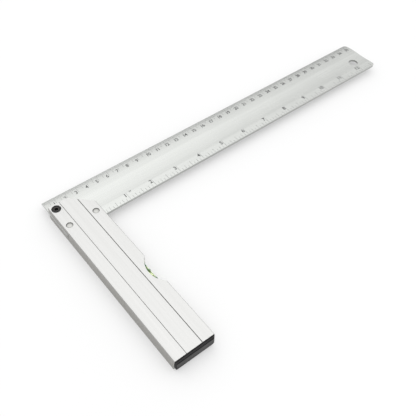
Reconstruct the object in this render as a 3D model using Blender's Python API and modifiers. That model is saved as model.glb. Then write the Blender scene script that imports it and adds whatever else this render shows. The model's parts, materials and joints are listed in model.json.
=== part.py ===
"""Fixed try and mitre square with a levelling vial, laid flat on its stock.

A hollow aluminium stock holds a bevelled aluminium blade in a slot. The blade turns a little about
a pivot rivet, a clamp rivet holds it, and an eccentric screw sets it square. A bubble vial sits in
the stock behind a notch, and a moulded cap closes the foot.

Frame: +X runs along the blade from the stock's outer face to the blade's tip, +Y from the stock's
foot towards the blade, +Z up out of the graduated face. The stock lies on Z = 0, and the origin is
the centre of the whole square's footprint. Metres.
"""

from math import acos, asin, cos, pi, sin

import bmesh
import bpy
from mathutils import Matrix, Vector

MM = 0.001

# ---------------------------------------------------------------- driving dimensions
BLADE_LENGTH = 355.6 * MM
BLADE_WIDTH = 41.5 * MM
BLADE_THICK = 2.3 * MM
BLADE_BOTTOM = 6.3 * MM
BLADE_FLAT = 7.8 * MM            # flat band that carries the inch scale
BLADE_HOLLOW_END = 25.5 * MM     # far side of the shallow hollow
BLADE_HOLLOW_DEPTH = 0.35 * MM
BLADE_RIDGE_END = 30.3 * MM      # where the centimetre band starts to fall away
BLADE_BEVEL_START = 36.8 * MM
BLADE_BEVEL_DROP = 0.3 * MM      # height already lost where the bevel starts
BLADE_EDGE_THICK = 0.9 * MM
BLADE_TIP_RADIUS = 3.5 * MM
HANG_HOLE_FROM_TIP = 15.2 * MM
HANG_HOLE_FROM_EDGE = 15.3 * MM
HANG_HOLE_RADIUS = 4.5 * MM

STOCK_WIDTH = 33.9 * MM
STOCK_THICK = 13.8 * MM
STOCK_HEAD = 29.0 * MM           # head end, measured from the blade's inner edge
STOCK_FOOT = 138.5 * MM          # foot end, measured the other way
STOCK_CORNER = 0.5 * MM
FOOT_SLANT = 1.7 * MM            # how far the foot end is set back at the bottom
MITRE_LEG = 16.5 * MM
SIDE_WALL = 1.4 * MM
FACE_WALL = 2.3 * MM
WEB = 1.4 * MM
WEB_OUTER = 10.0 * MM            # webs, under the grooves: from the outer side
WEB_INNER = 10.4 * MM            # and from the inner side
CHAMBER_CORNER = 0.6 * MM
GROOVE_WIDTH = 0.7 * MM
GROOVE_DEPTH = 0.45 * MM

PLAY = 0.3 * MM                  # gap between parts that rest on each other
RUNNING = 0.1 * MM               # gap between parts that turn or seat in each other
OVERRUN = 2.0 * MM               # how far a cutter reaches past what it cuts

NOTCH_RADIUS = 19.5 * MM
NOTCH_DEPTH = 6.2 * MM
NOTCH_CENTRE = 70.0 * MM         # from the blade's inner edge, towards the foot
NOTCH_LIP = 1.5 * MM
LIP_OVERRUN = 0.02 * MM          # how far the lip's arc runs past the side it blends into

RIVET_EDGE = 4.8 * MM            # fastener centres, from the nearer long side
RIVET_PIVOT_EDGE = 5.2 * MM
RIVET_UP = 3.4 * MM              # from the blade's inner edge
RIVET_SHANK = 1.6 * MM
RIVET_HEAD = 2.7 * MM
RIVET_CROWN = 0.45 * MM          # how much lower the head is at its rim
RIVET_HEAD_LAND = 0.25 * MM
RIVET_HEAD_HEIGHT = 1.9 * MM
RIVET_SUNK = 0.1 * MM
CLAMP_HOLE = 2.4 * MM

ADJUSTER_UP = 23.9 * MM
ADJUSTER_SHANK = 1.9 * MM
ADJUSTER_CAM = 2.3 * MM
ADJUSTER_THROW = 0.335 * MM      # how far the cam's centre lies off the screw's axis
ADJUSTER_CAM_SPARE = 0.2 * MM    # cam height beyond each face of the blade
ADJUSTER_HEAD = 3.75 * MM
ADJUSTER_HEAD_LAND = 0.6 * MM
ADJUSTER_HEAD_CHAMFER = 0.3 * MM
ADJUSTER_HEAD_HEIGHT = 2.3 * MM
ADJUSTER_SUNK = 0.15 * MM
ADJUSTER_TIP = 1.0 * MM          # height of the thread's end
ADJUSTER_SOCKET_FLATS = 3.0 * MM
ADJUSTER_SOCKET_DEPTH = 1.6 * MM
ADJUSTER_BORE = 2.8 * MM
CAM_SLOT_SPARE = 0.4 * MM
NUT_SIDE = 6.6 * MM
NUT_THICK = 2.0 * MM
NUT_CHAMFER = 0.25 * MM
WASHER_RADIUS = 2.9 * MM
WASHER_THICK = 0.6 * MM
WASHER_PLAY = 0.15 * MM
WASHER_SPLIT = 0.5 * MM

CAP_PROUD = 1.2 * MM             # how far the cap stands out of the foot at its fullest
CAP_SHOULDER = 0.7 * MM          # the same, where its front starts to round over
CAP_ROOT = 0.1 * MM              # the same, at its upper and lower edges
CAP_FRONT_LOW = 4.4 * MM
CAP_FRONT_HIGH = 9.6 * MM
CAP_SHOULDER_LOW = 2.0 * MM
CAP_SHOULDER_HIGH = 12.5 * MM
CAP_LOW = 0.8 * MM
CAP_HIGH = 13.4 * MM
CAP_INSET = 0.2 * MM
CAP_CORNER = 0.6 * MM            # upper corners, seen from the foot
CAP_FOOT_CORNER = 4.0 * MM       # lower corners, seen from the foot
CAP_END_RUN = 3.0 * MM           # length of the rounding at each end, seen from above
CAP_PLUG = 8.0 * MM
CAP_PLUG_WALL = 1.2 * MM

VIAL_FROM_INNER = 5.4 * MM       # vial axis, from the stock's inner face
VIAL_RADIUS = 3.5 * MM
VIAL_BORE = 3.1 * MM
VIAL_HALF = 8.7 * MM
VIAL_PLUG_FLANGE = 2.8 * MM
VIAL_PLUG_INSIDE = 0.7 * MM
VIAL_STUB_RADIUS = 1.5 * MM
VIAL_STUB = 3.0 * MM
RING_SPACING = 8.6 * MM
RING_WIDTH = 0.8 * MM
RING_INNER = 3.56 * MM
RING_OUTER = 3.7 * MM
BUBBLE_HALF = 2.9 * MM
BUBBLE_RADIUS = 1.6 * MM
BUBBLE_OFFSET = 1.3 * MM         # above the vial's axis, where a bubble floats
BUBBLE_TRAVEL = 4.0 * MM
HOLDER_BLOCK = 5.2 * MM
HOLDER_RAIL_WIDTH = 1.9 * MM
HOLDER_BORE = 3.8 * MM

ROUND = 32                       # sides of a small round piece
ROUND_FINE = 48                  # sides of a round piece that another one runs on
CREASE = pi / 6                  # edges sharper than this stay sharp in the shading

# ---------------------------------------------------------------- places worked out from them
X_OUT = -BLADE_LENGTH / 2
X_IN = X_OUT + STOCK_WIDTH
Y_EDGE = (STOCK_FOOT + CAP_PROUD - BLADE_WIDTH) / 2
Y_HEAD = Y_EDGE + STOCK_HEAD
Y_FOOT = Y_EDGE - STOCK_FOOT
Y_NOTCH = Y_EDGE - NOTCH_CENTRE
Z_MID = STOCK_THICK / 2
BLADE_TOP = BLADE_BOTTOM + BLADE_THICK
PIVOT = Vector((X_IN - RIVET_PIVOT_EDGE, Y_EDGE + RIVET_UP))
CLAMP = Vector((X_OUT + RIVET_EDGE, Y_EDGE + RIVET_UP))
ADJUSTER = Vector((X_OUT + RIVET_EDGE, Y_EDGE + ADJUSTER_UP))
WEBS = (X_OUT + WEB_OUTER, X_IN - WEB_INNER)
CHAMBERS = (
    (X_OUT + SIDE_WALL, WEBS[0] - WEB / 2),
    (WEBS[0] + WEB / 2, WEBS[1] - WEB / 2),
    (WEBS[1] + WEB / 2, X_IN - SIDE_WALL),
)
CHAMBER_LOW = FACE_WALL
CHAMBER_HIGH = STOCK_THICK - FACE_WALL
VIAL_X = X_IN - VIAL_FROM_INNER

FACING_X = (pi / 2, 0, pi / 2)   # turns a flat outline's (u, v, depth) into (Y, Z, X)
FACING_Y = (pi / 2, 0, 0)        # turns a flat outline's (u, v, depth) into (X, Z, -Y)
ALONG_Y = (-pi / 2, 0, 0)        # turns a piece made about Z to lie along +Y


# ---------------------------------------------------------------- scene and materials
def clear_scene():
    for thing in list(bpy.data.objects):
        bpy.data.objects.remove(thing, do_unlink=True)


def make_collection(name):
    collection = bpy.data.collections.new(name)
    bpy.context.scene.collection.children.link(collection)
    return collection


def make_material(name, colour, roughness, metallic=0.0, alpha=1.0):
    material = bpy.data.materials.new(name)
    material.use_nodes = True
    shader = material.node_tree.nodes["Principled BSDF"]
    shader.inputs["Base Color"].default_value = (*colour, 1.0)
    shader.inputs["Roughness"].default_value = roughness
    shader.inputs["Metallic"].default_value = metallic
    shader.inputs["Alpha"].default_value = alpha
    material.diffuse_color = (*colour, alpha)
    return material


clear_scene()
PARTS = make_collection("try_and_mitre_square")
CUTTERS = make_collection("cutters")

ANODISED = make_material("anodised_stock", (0.80, 0.81, 0.79), 0.38, 0.9)
BLADE_METAL = make_material("blade_aluminium", (0.70, 0.72, 0.70), 0.32, 0.9)
RIVET_METAL = make_material("rivet_aluminium", (0.55, 0.55, 0.52), 0.30, 1.0)
BLACK_STEEL = make_material("black_oxide_steel", (0.02, 0.02, 0.02), 0.40, 0.8)
PLATED_STEEL = make_material("plated_steel", (0.60, 0.60, 0.58), 0.35, 1.0)
CAP_PLASTIC = make_material("black_cap_plastic", (0.03, 0.03, 0.03), 0.45)
HOLDER_PLASTIC = make_material("white_holder_plastic", (0.75, 0.76, 0.72), 0.5)
TUBE_ACRYLIC = make_material("clear_acrylic", (0.92, 0.97, 0.88), 0.05, 0.0, 0.3)
LIQUID = make_material("green_level_liquid", (0.50, 0.72, 0.20), 0.05, 0.0, 0.6)
AIR = make_material("bubble_air", (0.95, 0.97, 0.85), 0.05, 0.0, 0.4)
PLUG_PLASTIC = make_material("dark_green_plug", (0.05, 0.16, 0.10), 0.35)
RING_INK = make_material("printed_black", (0.03, 0.035, 0.03), 0.5)


# ---------------------------------------------------------------- modelling helpers
def adopt(mesh, name, material=None):
    """Wrap a mesh in an object: a part if it has a material, otherwise a cutter."""
    mesh.shade_smooth()
    mesh.set_sharp_from_angle(angle=CREASE)
    made = bpy.data.objects.new(name, mesh)
    if material is None:
        CUTTERS.objects.link(made)
        made.hide_render = True
        made.display_type = "WIRE"
    else:
        PARTS.objects.link(made)
        mesh.materials.clear()
        mesh.materials.append(material)
    return made


def box(name, low, high, material=None):
    """A box between two corners, with its origin at its centre."""
    low, high = Vector(low), Vector(high)
    mesh = bpy.data.meshes.new(name)
    shape = bmesh.new()
    bmesh.ops.create_cube(shape, size=1.0, matrix=Matrix.Diagonal((*(high - low), 1.0)))
    shape.to_mesh(mesh)
    shape.free()
    made = adopt(mesh, name, material)
    made.location = (low + high) / 2
    return made


def rod(name, radius, depth, centre, rotation=(0, 0, 0), sides=ROUND, material=None):
    """A closed cylinder about its own Z, with its origin at its centre."""
    mesh = bpy.data.meshes.new(name)
    shape = bmesh.new()
    bmesh.ops.create_cone(shape, cap_ends=True, segments=sides, radius1=radius, radius2=radius,
                          depth=depth)
    shape.to_mesh(mesh)
    shape.free()
    made = adopt(mesh, name, material)
    made.location = centre
    made.rotation_euler = rotation
    return made


def outline_mesh(name, loops, depth):
    """Fill closed 2D loops, inner ones as holes, and extrude them by depth about their plane."""
    curve = bpy.data.curves.new(name, "CURVE")
    curve.dimensions = "2D"
    curve.fill_mode = "BOTH"
    curve.extrude = depth / 2
    for loop in loops:
        spline = curve.splines.new("POLY")
        spline.points.add(len(loop) - 1)
        for point, (u, v) in zip(spline.points, loop):
            point.co = (u, v, 0.0, 1.0)
        spline.use_cyclic_u = True
    holder = bpy.data.objects.new(name, curve)
    PARTS.objects.link(holder)
    bpy.context.view_layer.update()
    evaluated = holder.evaluated_get(bpy.context.evaluated_depsgraph_get())
    mesh = bpy.data.meshes.new_from_object(evaluated)
    bpy.data.objects.remove(holder, do_unlink=True)
    bpy.data.curves.remove(curve)
    shape = bmesh.new()
    shape.from_mesh(mesh)
    bmesh.ops.remove_doubles(shape, verts=shape.verts, dist=0.001 * MM)
    bmesh.ops.recalc_face_normals(shape, faces=shape.faces)
    shape.to_mesh(mesh)
    shape.free()
    return mesh


def plate(name, loops, depth, place, rotation=(0, 0, 0), material=None):
    made = adopt(outline_mesh(name, loops, depth), name, material)
    made.location = place
    made.rotation_euler = rotation
    return made


def turned(name, profile, centre, material, rotation=(0, 0, 0), sides=ROUND):
    """A turned piece: profile lists (radius, height), from the axis at the top to it at the foot."""
    mesh = bpy.data.meshes.new(name)
    points = [(radius, 0.0, height) for radius, height in profile]
    mesh.from_pydata(points, [(i, i + 1) for i in range(len(points) - 1)], [])
    made = adopt(mesh, name, material)
    made.location = centre
    made.rotation_euler = rotation
    screw = made.modifiers.new("turn", "SCREW")
    screw.steps = sides
    screw.render_steps = sides
    screw.use_merge_vertices = True
    screw.merge_threshold = 0.001 * MM
    screw.use_smooth_shade = True
    return made


def combine(target, tool, operation="DIFFERENCE"):
    """Cut, join or clip a part with another shape, which then counts as a cutter."""
    if tool.name in PARTS.objects:
        PARTS.objects.unlink(tool)
        CUTTERS.objects.link(tool)
        tool.hide_render = True
        tool.display_type = "WIRE"
    boolean = target.modifiers.new(operation.lower() + "_" + tool.name, "BOOLEAN")
    boolean.operation = operation
    boolean.object = tool
    return target


def arc(centre, radius, start, end, steps):
    """Points on an arc, both ends included."""
    return [(centre[0] + radius * cos(start + (end - start) * i / steps),
             centre[1] + radius * sin(start + (end - start) * i / steps))
            for i in range(steps + 1)]


def rounded_rectangle(low, high, upper, lower, steps=4):
    """A rectangle with one radius at its upper corners and one at its lower ones."""
    (u0, v0), (u1, v1) = low, high
    corners = ((u1 - lower, v0 + lower, lower, -pi / 2), (u1 - upper, v1 - upper, upper, 0.0),
               (u0 + upper, v1 - upper, upper, pi / 2), (u0 + lower, v0 + lower, lower, pi))
    points = []
    for u, v, radius, start in corners:
        points += arc((u, v), radius, start, start + pi / 2, steps)
    return points


def circle(centre, radius, sides=ROUND):
    return arc(centre, radius, 0.0, 2 * pi * (sides - 1) / sides, sides - 1)


# ---------------------------------------------------------------- stock
def stock_section():
    """The extrusion's outline in X and Z: a V groove over each web, on both faces."""
    corner = STOCK_CORNER
    points = arc((X_OUT + corner, corner), corner, pi, 1.5 * pi, 3)
    for x in WEBS:
        points += [(x - GROOVE_WIDTH / 2, 0.0), (x, GROOVE_DEPTH), (x + GROOVE_WIDTH / 2, 0.0)]
    points += arc((X_IN - corner, corner), corner, 1.5 * pi, 2 * pi, 3)
    points += arc((X_IN - corner, STOCK_THICK - corner), corner, 0.0, pi / 2, 3)
    for x in reversed(WEBS):
        points += [(x + GROOVE_WIDTH / 2, STOCK_THICK), (x, STOCK_THICK - GROOVE_DEPTH),
                   (x - GROOVE_WIDTH / 2, STOCK_THICK)]
    points += arc((X_OUT + corner, STOCK_THICK - corner), corner, pi / 2, pi, 3)
    return points


def notch_outline():
    """The vial notch in plan: a shallow arc with a rounded lip at each end, open past the side."""
    centre_x = X_IN - NOTCH_DEPTH + NOTCH_RADIUS
    lip_x = X_IN - NOTCH_LIP + LIP_OVERRUN
    reach = NOTCH_RADIUS + NOTCH_LIP
    lean = acos((centre_x - lip_x) / reach)
    rise = reach * sin(lean)
    points = arc((lip_x, Y_NOTCH - rise), NOTCH_LIP, 0.0, lean, 4)
    points += arc((centre_x, Y_NOTCH), NOTCH_RADIUS, pi + lean, pi - lean, 24)[1:-1]
    points += arc((lip_x, Y_NOTCH + rise), NOTCH_LIP, -lean, 0.0, 4)
    outside = X_IN + 2 * NOTCH_LIP
    return points + [(outside, Y_NOTCH + rise), (outside, Y_NOTCH - rise)]


def countersink(name, centre, bore, mouth, land, depth, top):
    """A cutter for a countersunk hole in one face of the stock, mouth up or mouth down."""
    face = STOCK_THICK if top else 0.0
    away = 1.0 if top else -1.0
    heights = (face + away * OVERRUN, face - away * land, face - away * depth,
               face - away * 2 * OVERRUN)
    profile = [(0.0, heights[0]), (mouth, heights[0]), (mouth, heights[1]), (bore, heights[2]),
               (bore, heights[3]), (0.0, heights[3])]
    if not top:
        profile.reverse()
    return turned(name, profile, (centre.x, centre.y, 0.0), RIVET_METAL, sides=ROUND_FINE)


def foot_end(z, gap=0.0):
    """Where the slanted foot end is at a height, with an optional gap in front of it."""
    return Y_FOOT + FOOT_SLANT * (1 - z / STOCK_THICK) - gap


def foot_cut():
    """What the saw takes off the foot, in Y and Z."""
    low, high = -OVERRUN, STOCK_THICK + OVERRUN
    return [(foot_end(low), low), (foot_end(high), high), (Y_FOOT - 2 * OVERRUN, high),
            (Y_FOOT - 2 * OVERRUN, low)]


def make_stock():
    start = Y_FOOT - OVERRUN / 2
    middle = (0, (Y_HEAD + start) / 2, 0)
    stock = plate("stock", [stock_section()], Y_HEAD - start, middle, FACING_Y, ANODISED)
    combine(stock, plate("foot_cut", [foot_cut()], BLADE_LENGTH, (X_OUT, 0, 0), FACING_X))
    for index, (x0, x1) in enumerate(CHAMBERS):
        hollow = rounded_rectangle((x0, CHAMBER_LOW), (x1, CHAMBER_HIGH), CHAMBER_CORNER,
                                   CHAMBER_CORNER, 3)
        combine(stock, plate(f"chamber_{index}", [hollow], Y_HEAD - start + 2 * OVERRUN, middle,
                             FACING_Y))
    mitre = [(X_IN - MITRE_LEG - OVERRUN, Y_HEAD + OVERRUN),
             (X_IN + OVERRUN, Y_HEAD - MITRE_LEG - OVERRUN),
             (X_IN + OVERRUN, Y_HEAD + OVERRUN)]
    tall = STOCK_THICK + 2 * OVERRUN
    combine(stock, plate("mitre_cut", [mitre], tall, (0, 0, Z_MID)))
    combine(stock, plate("vial_notch", [notch_outline()], tall, (0, 0, Z_MID)))
    slot = box("blade_slot", (X_OUT - OVERRUN, Y_EDGE - 3 * PLAY, BLADE_BOTTOM - PLAY),
               (X_IN + OVERRUN, Y_HEAD + OVERRUN, BLADE_TOP + PLAY))
    combine(stock, slot)
    for rivet, centre in (("pivot", PIVOT), ("clamp", CLAMP)):
        for face, top in (("top", True), ("bottom", False)):
            combine(stock, countersink(f"{rivet}_seat_{face}", centre, RIVET_SHANK + RUNNING,
                                       RIVET_HEAD + RUNNING,
                                       RIVET_SUNK + RIVET_CROWN + RIVET_HEAD_LAND,
                                       RIVET_SUNK + RIVET_HEAD_HEIGHT, top))
    combine(stock, countersink("adjuster_seat", ADJUSTER, ADJUSTER_BORE, ADJUSTER_HEAD + RUNNING,
                               ADJUSTER_SUNK + ADJUSTER_HEAD_LAND,
                               ADJUSTER_SUNK + ADJUSTER_HEAD_HEIGHT, True))
    combine(stock, rod("adjuster_exit", ADJUSTER_SHANK + PLAY, 4 * FACE_WALL,
                       (ADJUSTER.x, ADJUSTER.y, 0)))
    return stock


# ---------------------------------------------------------------- blade
def blade_section():
    """The blade's outline in Y and Z: flat band, shallow hollow, ridge, fall and bevel."""
    low, top = BLADE_BOTTOM, BLADE_TOP
    half_chord = (BLADE_HOLLOW_END - BLADE_FLAT) / 2
    radius = (half_chord ** 2 + BLADE_HOLLOW_DEPTH ** 2) / (2 * BLADE_HOLLOW_DEPTH)
    spread = acos((radius - BLADE_HOLLOW_DEPTH) / radius)
    hollow = arc((Y_EDGE + BLADE_FLAT + half_chord, top + radius - BLADE_HOLLOW_DEPTH), radius,
                 -pi / 2 + spread, -pi / 2 - spread, 12)
    points = [(Y_EDGE, low), (Y_EDGE + BLADE_WIDTH, low),
              (Y_EDGE + BLADE_WIDTH, low + BLADE_EDGE_THICK),
              (Y_EDGE + BLADE_BEVEL_START, top - BLADE_BEVEL_DROP),
              (Y_EDGE + BLADE_RIDGE_END, top)]
    return points + hollow + [(Y_EDGE, top)]


def cam_slot():
    """The slot that the eccentric works in, long towards the pivot rivet."""
    along = (ADJUSTER - PIVOT).normalized()
    angle = Vector((1, 0)).angle_signed(along)
    radius = ADJUSTER_CAM + RUNNING
    centre = ADJUSTER + along * ADJUSTER_THROW
    far = centre + along * CAM_SLOT_SPARE
    near = centre - along * CAM_SLOT_SPARE
    return (arc(far, radius, -angle - pi / 2, -angle + pi / 2, ROUND_FINE // 2)
            + arc(near, radius, -angle + pi / 2, -angle + 1.5 * pi, ROUND_FINE // 2))


def make_blade():
    blade = plate("blade", [blade_section()], BLADE_LENGTH + 2 * OVERRUN, (0, 0, 0), FACING_X,
                  BLADE_METAL)
    x_tip, y_low, y_high = X_OUT + BLADE_LENGTH, Y_EDGE - OVERRUN, Y_EDGE + BLADE_WIDTH + OVERRUN
    round_off = BLADE_TIP_RADIUS
    y0, y1 = Y_EDGE + round_off, Y_EDGE + BLADE_WIDTH - round_off
    plan = [(X_OUT, y_low), (x_tip - round_off, y_low)]
    plan += arc((x_tip - round_off, y0), round_off, -pi / 2, 0.0, 8)
    plan += arc((x_tip - round_off, y1), round_off, 0.0, pi / 2, 8)
    plan += [(x_tip - round_off, y_high), (X_OUT, y_high)]
    holes = [circle((x_tip - HANG_HOLE_FROM_TIP, Y_EDGE + HANG_HOLE_FROM_EDGE), HANG_HOLE_RADIUS,
                    ROUND_FINE),
             circle(PIVOT, RIVET_SHANK + RUNNING, ROUND_FINE),
             circle(CLAMP, CLAMP_HOLE),
             cam_slot()]
    blank = plate("blade_plan", [plan] + holes, BLADE_THICK + 2 * OVERRUN,
                  (0, 0, BLADE_BOTTOM + BLADE_THICK / 2))
    combine(blade, blank, "INTERSECT")
    return blade


# ---------------------------------------------------------------- fasteners
def make_rivet(name, centre):
    """A countersunk rivet with a low crowned head in each face of the stock."""
    half = STOCK_THICK / 2 - RIVET_SUNK
    radius = (RIVET_HEAD ** 2 + RIVET_CROWN ** 2) / (2 * RIVET_CROWN)
    spread = asin(RIVET_HEAD / radius)
    steps = 5
    crown = arc((0.0, half - radius), radius, pi / 2, pi / 2 - spread, steps)
    upper = [(0.0, half)] + crown[1:]
    upper += [(RIVET_HEAD, half - RIVET_CROWN - RIVET_HEAD_LAND),
              (RIVET_SHANK, half - RIVET_HEAD_HEIGHT)]
    lower = [(radius, -height) for radius, height in reversed(upper)]
    return turned(name, upper + lower, (centre.x, centre.y, Z_MID), RIVET_METAL)


def make_adjuster():
    """A countersunk socket screw whose shoulder, at the blade's height, is eccentric."""
    top = STOCK_THICK - ADJUSTER_SUNK
    chamfer = ADJUSTER_HEAD_CHAMFER
    profile = [(0.0, top), (ADJUSTER_HEAD - chamfer, top), (ADJUSTER_HEAD, top - chamfer),
               (ADJUSTER_HEAD, top - ADJUSTER_HEAD_LAND),
               (ADJUSTER_SHANK, top - ADJUSTER_HEAD_HEIGHT), (ADJUSTER_SHANK, ADJUSTER_TIP),
               (0.0, ADJUSTER_TIP)]
    place = (ADJUSTER.x, ADJUSTER.y, 0.0)
    screw = turned("adjuster_screw", profile, place, BLACK_STEEL, sides=ROUND_FINE)
    along = (ADJUSTER - PIVOT).normalized() * ADJUSTER_THROW
    cam_low, cam_high = BLADE_BOTTOM - ADJUSTER_CAM_SPARE, BLADE_TOP + ADJUSTER_CAM_SPARE
    cam = rod("adjuster_cam", ADJUSTER_CAM, cam_high - cam_low,
              (ADJUSTER.x + along.x, ADJUSTER.y + along.y, (cam_low + cam_high) / 2),
              sides=ROUND_FINE)
    combine(screw, cam, "UNION")
    socket = rod("adjuster_socket", ADJUSTER_SOCKET_FLATS / (2 * cos(pi / 6)),
                 2 * ADJUSTER_SOCKET_DEPTH, (ADJUSTER.x, ADJUSTER.y, top), sides=6)
    combine(screw, socket)
    return screw


def make_nut():
    """A square nut, kept from turning by the stock's outer wall."""
    low = CHAMBER_LOW + WASHER_THICK + 2 * RUNNING
    half = NUT_SIDE / 2
    nut = box("adjuster_nut", (ADJUSTER.x - half, ADJUSTER.y - half, low),
              (ADJUSTER.x + half, ADJUSTER.y + half, low + NUT_THICK), PLATED_STEEL)
    combine(nut, rod("nut_thread", ADJUSTER_SHANK + RUNNING, 4 * NUT_THICK,
                     (ADJUSTER.x, ADJUSTER.y, low)))
    chamfer = nut.modifiers.new("chamfer", "BEVEL")
    chamfer.width = NUT_CHAMFER
    chamfer.segments = 1
    return nut


def make_washer():
    """A split lock washer under the nut."""
    low = CHAMBER_LOW + RUNNING
    washer = rod("adjuster_washer", WASHER_RADIUS, WASHER_THICK,
                 (ADJUSTER.x, ADJUSTER.y, low + WASHER_THICK / 2), material=PLATED_STEEL)
    combine(washer, rod("washer_bore", ADJUSTER_SHANK + WASHER_PLAY, 4 * WASHER_THICK,
                        (ADJUSTER.x, ADJUSTER.y, low)))
    combine(washer, box("washer_split", (ADJUSTER.x, ADJUSTER.y - WASHER_SPLIT / 2, 0),
                        (ADJUSTER.x + 2 * WASHER_RADIUS, ADJUSTER.y + WASHER_SPLIT / 2,
                         2 * FACE_WALL)))
    return washer


# ---------------------------------------------------------------- end cap
def cap_side():
    """The cap's front in Y and Z: full in the middle, rounding over to its slanted back."""
    points = [(foot_end(CAP_LOW, RUNNING), CAP_LOW), (Y_FOOT - CAP_ROOT, CAP_LOW),
              (Y_FOOT - CAP_SHOULDER, CAP_SHOULDER_LOW),
              (Y_FOOT - (CAP_SHOULDER + CAP_PROUD) / 2, (CAP_SHOULDER_LOW + CAP_FRONT_LOW) / 2),
              (Y_FOOT - CAP_PROUD, CAP_FRONT_LOW), (Y_FOOT - CAP_PROUD, CAP_FRONT_HIGH),
              (Y_FOOT - CAP_SHOULDER, CAP_SHOULDER_HIGH)]
    return points + [(foot_end(CAP_HIGH, RUNNING) - CAP_ROOT, CAP_HIGH),
                     (foot_end(CAP_HIGH, RUNNING), CAP_HIGH)]


def cap_plan(x0, x1):
    """The cap from above: straight, with a long, soft rounding at each end."""
    steps = 6
    near, far = Y_FOOT + 2 * FOOT_SLANT, Y_FOOT - CAP_PROUD - RUNNING
    root = Y_FOOT - CAP_ROOT
    points = [(x0, near)]
    for i in range(steps + 1):
        angle = pi / 2 * i / steps
        points.append((x0 + CAP_END_RUN * (1 - cos(angle)), root - (root - far) * sin(angle)))
    for i in range(steps, -1, -1):
        angle = pi / 2 * i / steps
        points.append((x1 - CAP_END_RUN * (1 - cos(angle)), root - (root - far) * sin(angle)))
    return points + [(x1, near)]


def make_end_cap():
    """A moulded cap: a full, rounded front and a hollow plug for each chamber."""
    x0, x1 = X_OUT + CAP_INSET, X_IN - CAP_INSET
    cap = plate("end_cap", [cap_side()], STOCK_WIDTH + 2 * OVERRUN, (X_OUT + STOCK_WIDTH / 2, 0, 0),
                FACING_X, CAP_PLASTIC)
    front = rounded_rectangle((x0, CAP_LOW - CAP_INSET), (x1, CAP_HIGH + CAP_INSET), CAP_CORNER,
                              CAP_FOOT_CORNER, 6)
    combine(cap, plate("cap_front", [front], 8 * OVERRUN, (0, Y_FOOT, 0), FACING_Y), "INTERSECT")
    combine(cap, plate("cap_plan", [cap_plan(x0 - RUNNING, x1 + RUNNING)], 2 * STOCK_THICK,
                       (0, 0, Z_MID)), "INTERSECT")
    wall = CAP_PLUG_WALL
    for index, (low_x, high_x) in enumerate(CHAMBERS):
        low = (low_x + PLAY, Y_FOOT - PLAY, CHAMBER_LOW + PLAY)
        high = (high_x - PLAY, Y_FOOT + CAP_PLUG, CHAMBER_HIGH - PLAY)
        combine(cap, box(f"cap_plug_{index}", low, high), "UNION")
        combine(cap, box(f"cap_plug_hollow_{index}",
                         (low[0] + wall, low[1] + FOOT_SLANT + wall, low[2] + wall),
                         (high[0] - wall, high[1] + wall, high[2] - wall)))
    return cap


# ---------------------------------------------------------------- vial
def make_holder():
    """A moulded cradle in the inner chamber: two blocks joined by two rails behind the vial."""
    x0, x1 = CHAMBERS[2][0] + PLAY, CHAMBERS[2][1] - PLAY
    inside = VIAL_HALF + VIAL_PLUG_FLANGE + RUNNING
    reach = inside + HOLDER_BLOCK
    holder = box("vial_holder", (x0, Y_NOTCH - reach, CHAMBER_LOW + PLAY),
                 (x1, Y_NOTCH + reach, CHAMBER_HIGH - PLAY), HOLDER_PLASTIC)
    combine(holder, box("holder_window", (x0 + HOLDER_RAIL_WIDTH, Y_NOTCH - inside, 0),
                        (x1 + OVERRUN, Y_NOTCH + inside, STOCK_THICK)))
    combine(holder, rod("holder_trough", HOLDER_BORE, 2 * inside, (VIAL_X, Y_NOTCH, Z_MID), ALONG_Y))
    combine(holder, rod("holder_spigot_hole", VIAL_STUB_RADIUS + PLAY, 4 * reach,
                        (VIAL_X, Y_NOTCH, Z_MID), ALONG_Y))
    return holder


def make_vial_tube():
    half = VIAL_HALF
    tube = rod("vial_tube", VIAL_RADIUS, 2 * half, (VIAL_X, Y_NOTCH, Z_MID), ALONG_Y,
               sides=ROUND_FINE, material=TUBE_ACRYLIC)
    combine(tube, rod("tube_bore", VIAL_BORE, 4 * half, (VIAL_X, Y_NOTCH, Z_MID), ALONG_Y,
                      sides=ROUND_FINE))
    return tube


def make_liquid():
    """The filling, with the channel that its bubble runs along."""
    half = VIAL_HALF - VIAL_PLUG_INSIDE - PLAY
    liquid = rod("vial_liquid", VIAL_BORE - RUNNING, 2 * half, (VIAL_X, Y_NOTCH, Z_MID), ALONG_Y,
                 material=LIQUID)
    reach = BUBBLE_HALF + BUBBLE_TRAVEL + PLAY
    channel = BUBBLE_RADIUS + PLAY
    combine(liquid, box("bubble_channel",
                        (VIAL_X - channel, Y_NOTCH - reach, Z_MID + BUBBLE_OFFSET - channel),
                        (VIAL_X + channel, Y_NOTCH + reach, Z_MID + VIAL_RADIUS)))
    return liquid


def make_bubble():
    mesh = bpy.data.meshes.new("vial_bubble")
    shape = bmesh.new()
    bmesh.ops.create_uvsphere(shape, u_segments=20, v_segments=12, radius=1.0,
                              matrix=Matrix.Diagonal((BUBBLE_RADIUS, BUBBLE_RADIUS, BUBBLE_HALF, 1)))
    shape.to_mesh(mesh)
    shape.free()
    bubble = adopt(mesh, "vial_bubble", AIR)
    bubble.location = (VIAL_X, Y_NOTCH, Z_MID + BUBBLE_OFFSET)
    bubble.rotation_euler = ALONG_Y
    return bubble


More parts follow.
